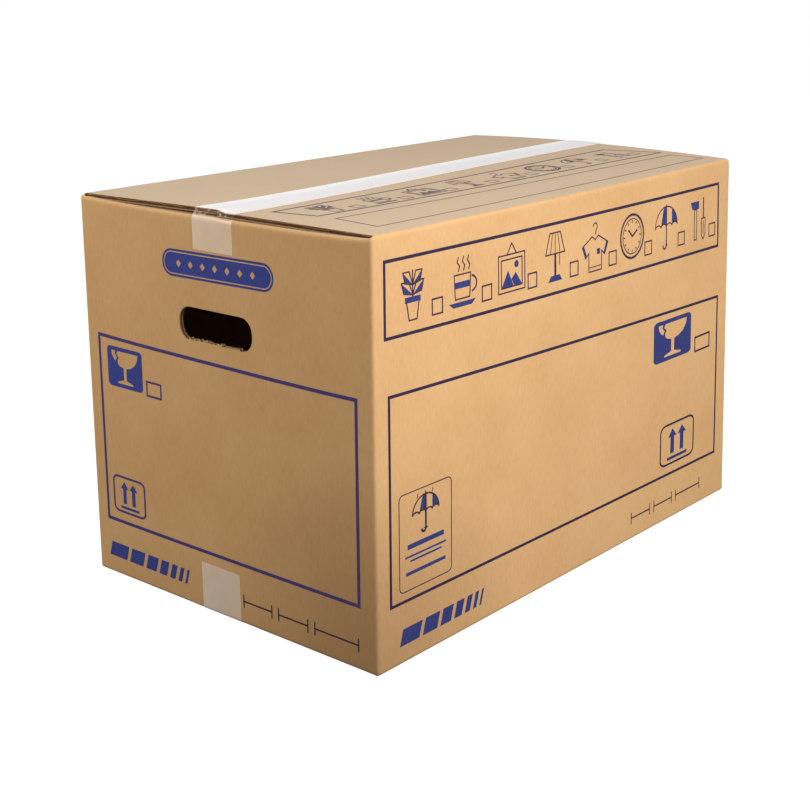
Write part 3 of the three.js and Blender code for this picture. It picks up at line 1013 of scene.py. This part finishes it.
def packing_film():
    """Clear polypropylene packing tape: thin, glossy film with milky glue, so that it veils the board
    when seen straight on; at a slant its colour is painted whiter, as a sheen. It is clearest where it
    bridges a gap, unglued, but for painted glints on its creases there."""
    material, tree, shader, coords = new_material("packing_film")
    place = coords["Object"]
    bubbles = add(tree, "ShaderNodeTexNoise", {
        "Vector": place, "Scale": 1 / GLUE_BUBBLE, "Detail": 3.0,
    })["Fac"]
    facing = add(tree, "ShaderNodeLayerWeight", {"Blend": 0.5})["Facing"]
    veil = add(tree, "ShaderNodeValToRGB", {"Fac": facing, "stops": [(0.3, 0.9), (0.75, 0.94)]})["Color"]
    width = add(tree, "ShaderNodeSeparateXYZ", {"Vector": coords["UV"]})["Y"]
    off_middle = add(tree, "ShaderNodeMath", {"operation": "ABSOLUTE", 0: width})["Value"]
    side_edge = add(tree, "ShaderNodeMapRange", {
        "Value": off_middle, "From Min": TAPE_WIDTH / 2 - PALE_EDGE, "From Max": TAPE_WIDTH / 2,
        "To Min": 0.0, "To Max": 0.2,
    })["Result"]
    glued = add(tree, "ShaderNodeMath", {
        "operation": "ADD", "use_clamp": True, 0: veil, 1: side_edge,
    })["Value"]
    # Painted glints: pale flecks on the film where it is loose and creased.
    crease_glint_noise = add(tree, "ShaderNodeTexNoise", {
        "Vector": place, "Scale": 1 / FILM_CREASE_GLINT, "Detail": 3.0, "Roughness": 0.7,
    })["Fac"]
    crease_glints = add(tree, "ShaderNodeMapRange", {
        "Value": crease_glint_noise, "From Min": 0.55, "From Max": 0.68, "To Min": 0.05, "To Max": 0.7,
    })["Result"]
    loose = add(tree, "ShaderNodeAttribute", {"attribute_name": "loose"})["Fac"]
    stuck = add(tree, "ShaderNodeMapRange", {"Value": loose, "To Min": 1.0, "To Max": crease_glints})["Result"]
    seen = add(tree, "ShaderNodeMath", {"operation": "MULTIPLY", 0: glued, 1: stuck})["Value"]
    across = add(tree, "ShaderNodeMath", {
        "operation": "MULTIPLY_ADD", 0: width, 1: 1 / TAPE_WIDTH, 2: 0.35,
    })["Value"]
    uneven = add(tree, "ShaderNodeMath", {
        "operation": "MULTIPLY_ADD", 0: bubbles, 1: 0.3, 2: across,
    })["Value"]
    milky_and_sheen = add(tree, "ShaderNodeValToRGB", {
        "Fac": uneven, "stops": [(0.05, "#F3E4D6"), (0.3, "#EAE4E5"), (0.65, "#ECE8EB"), (0.9, "#FFFBF8")],
    })["Color"]
    clear = add(tree, "ShaderNodeValToRGB", {
        "Fac": bubbles, "stops": [(0.3, "#FFDCB8"), (0.7, "#FFE6C8")],
    })["Color"]
    # Painted sheen: at a slant the film's colour goes from the warm clear tone to the milky white.
    film_sheen_share = add(tree, "ShaderNodeValToRGB", {"Fac": facing, "stops": [(0.35, 0.0), (0.7, 1.0)]})["Color"]
    colour = add(tree, "ShaderNodeMix", {"data_type": "RGBA", "Factor": film_sheen_share, "A": clear, "B": milky_and_sheen})
    rippled = add(tree, "ShaderNodeBump", {"Height": bubbles, "Strength": 0.15, "Distance": 0.1 * MM})
    add(tree, shader, {
        "Base Color": colour["Result"], "Alpha": seen, "Normal": rippled["Normal"],
        "Roughness": 0.28, "Specular IOR Level": 1.0, "IOR": 1.65,
    })
    return material


# Soft lights: place, aim, size, power and colour. The surround gives the ambient part.
LIGHTS = [
    ("key", (-0.35, -0.95, 0.85), (-0.2, -0.17, 0.3), 0.6, 8.6, "#FFFFFF"),
    ("front", (0.6, -2.2, 0.9), (0.1, -0.17, 0.2), 1.2, 24.0, "#FFFFFF"),
    ("fill", (-1.0, 0.6, 0.68), (-0.27, 0.0, 0.12), 0.5, 5.7, "#FFFCF4"),
    ("overhead", (0.35, 0.8, 1.7), (0.05, 0.1, 0.35), 1.2, 5.7, "#EEF0F4"),
]
AMBIENT = 0.26
SHADOW_SHARE = 0.5
FLOOR_TONE = "#616161"


def studio_floor():
    """A pale studio floor. The camera sees it as white as the surround, but for the object's shadow: what
    the floor scatters and what it is given add up to white wherever the surround lights it."""
    material, tree, shader, _ = new_material("studio_floor")
    add(tree, shader, {"Base Color": srgb(FLOOR_TONE), "Roughness": 1.0, "Specular IOR Level": 0.0})
    scattered = add(tree, "ShaderNodeBsdfDiffuse", {"Color": (SHADOW_SHARE, SHADOW_SHARE, SHADOW_SHARE, 1)})
    given = add(tree, "ShaderNodeEmission", {"Strength": 1.01 - SHADOW_SHARE * AMBIENT})
    both = add(tree, "ShaderNodeAddShader", {0: scattered["BSDF"], 1: given["Emission"]})
    seen = add(tree, "ShaderNodeLightPath")["Is Camera Ray"]
    mix = add(tree, "ShaderNodeMixShader", {"Fac": seen, 1: shader.outputs["BSDF"], 2: both["Shader"]})
    add(tree, tree.nodes["Material Output"], {"Surface": mix["Shader"]})
    return material


# The camera, placed so that the box stands as in the photograph's 810 x 810 frame.
IMAGE_SIZE = 810
FOCAL_PX = 1372.75
AZIMUTH, ELEVATION, ROLL = -50.78, 12.98, -0.23
LENS_AXIS_PX = (459.7, 325.0)
OFFSET_RIGHT, OFFSET_UP, DISTANCE = 26.18 * MM, 31.0 * MM, 1342.0 * MM


def make_camera():
    """A level camera seen by its back direction, with its picture shifted to the lens's axis."""
    a, e, r = (math.radians(v) for v in (AZIMUTH, ELEVATION, ROLL))
    back = Vector((math.sin(a) * math.cos(e), -math.cos(a) * math.cos(e), math.sin(e)))
    level_right = Vector((0, 0, 1)).cross(back).normalized()
    level_up = back.cross(level_right)
    right = level_right * math.cos(r) + level_up * math.sin(r)
    up = level_up * math.cos(r) - level_right * math.sin(r)
    data = bpy.data.cameras.new("camera")
    data.sensor_width = 36.0
    data.lens = data.sensor_width * FOCAL_PX / IMAGE_SIZE
    data.shift_x = 0.5 - LENS_AXIS_PX[0] / IMAGE_SIZE
    data.shift_y = LENS_AXIS_PX[1] / IMAGE_SIZE - 0.5
    camera = bpy.data.objects.new("camera", data)
    bpy.context.scene.collection.objects.link(camera)
    place = Vector((0, 0, 0.175)) + right * OFFSET_RIGHT + up * OFFSET_UP + back * DISTANCE
    turn = Matrix((right, up, back)).transposed().to_4x4()
    camera.matrix_world = Matrix.Translation(place) @ turn
    bpy.context.scene.camera = camera


def area_light(name, place, aim, size, power, colour):
    """A square soft light at a place, turned to what it lights. The fill gives no highlights."""
    data = bpy.data.lights.new(name, "AREA")
    data.size = size
    data.energy = power
    data.color = srgb(colour)[:3]
    light = bpy.data.objects.new(name, data)
    bpy.context.scene.collection.objects.link(light)
    light.visible_glossy = name != "fill"
    direction = Vector(aim) - Vector(place)
    light.matrix_world = Matrix.Translation(place) @ direction.to_track_quat("-Z", "Y").to_matrix().to_4x4()


def make_stage():
    """Floor, lights and a white surround that the camera and glossy rays see."""
    mesh = bpy.data.meshes.new("floor")
    mesh.from_pydata([(-6, -6, 0), (6, -6, 0), (6, 6, 0), (-6, 6, 0)], [], [(0, 1, 2, 3)])
    mesh.materials.append(studio_floor())
    floor = bpy.data.objects.new("floor", mesh)
    bpy.context.scene.collection.objects.link(floor)
    for light in LIGHTS:
        area_light(*light)
    world = bpy.data.worlds.new("surround")
    world.use_nodes = True
    tree = world.node_tree
    rays = add(tree, "ShaderNodeLightPath")
    mirrored = add(tree, "ShaderNodeMath", {
        "operation": "MAXIMUM", 0: rays["Is Glossy Ray"], 1: rays["Is Transmission Ray"],
    })["Value"]
    seen = add(tree, "ShaderNodeMath", {
        "operation": "MAXIMUM", 0: rays["Is Camera Ray"], 1: mirrored,
    })["Value"]
    strength = add(tree, "ShaderNodeMapRange", {"Value": seen, "To Min": AMBIENT, "To Max": 1.0})["Result"]
    add(tree, tree.nodes["Background"], {"Color": (1, 1, 1, 1), "Strength": strength})
    bpy.context.scene.world = world


def main():
    """Sets the scene, makes the pieces and hides the solids that they stand in for."""
    make_camera()
    make_stage()
    bpy.context.scene.view_settings.view_transform = "Standard"
    liner, film = kraft_liner(), packing_film()
    cut = cut_board("cut_board", "#94704A", "#C8A070")
    # Painted shade: the sunk hollow's dark colours stand in for the shade in the flutes' channels.
    hollow = cut_board("open_flutes_painted_shade", "#402C1C", "#6A4E36")
    ink = [flexo_ink("solid_ink", "#2A346E", "#5C5070", 0.52),
           flexo_ink("line_ink", "#261C3C", "#4C3A4A", 0.52),
           flexo_ink("fine_line_ink", "#33203A", "#6A4A44", 0.45)]
    end_ink = [flexo_ink("end_solid_ink", "#3A4690", "#6A5E80", 0.52),
               flexo_ink("end_line_ink", "#4A3E78", "#66546C", 0.52), ink[2]]
    top_ink = [ink[2], ink[1], ink[2]]
    board, holes = make_board(liner, cut, hollow)
    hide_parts("carton")
    pieces = [board, make_fluting(cut, holes)]
    for name, page, inks, start in (
        ("front", long_side_print(), ink, FRONT),
        ("back", long_side_print(), ink, PANELS[0][0]),
        ("near_end", end_print(), end_ink, NEAR_END),
        ("far_end", end_print(), end_ink, FAR_END),
        ("top", top_print(), top_ink, FRONT),
    ):
        pieces.append(lay_print("print_" + name, page, inks, start, on_top=name == "top"))
    top = make_tape("film_over_top", TOP_TAIL, 0.0, True, film, 21)
    bottom = make_tape("film_over_bottom", BOTTOM_TAIL, BOTTOM_TAPE_Y, False, film, 33)
    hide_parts("top_tape")
    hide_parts("bottom_tape")


main()
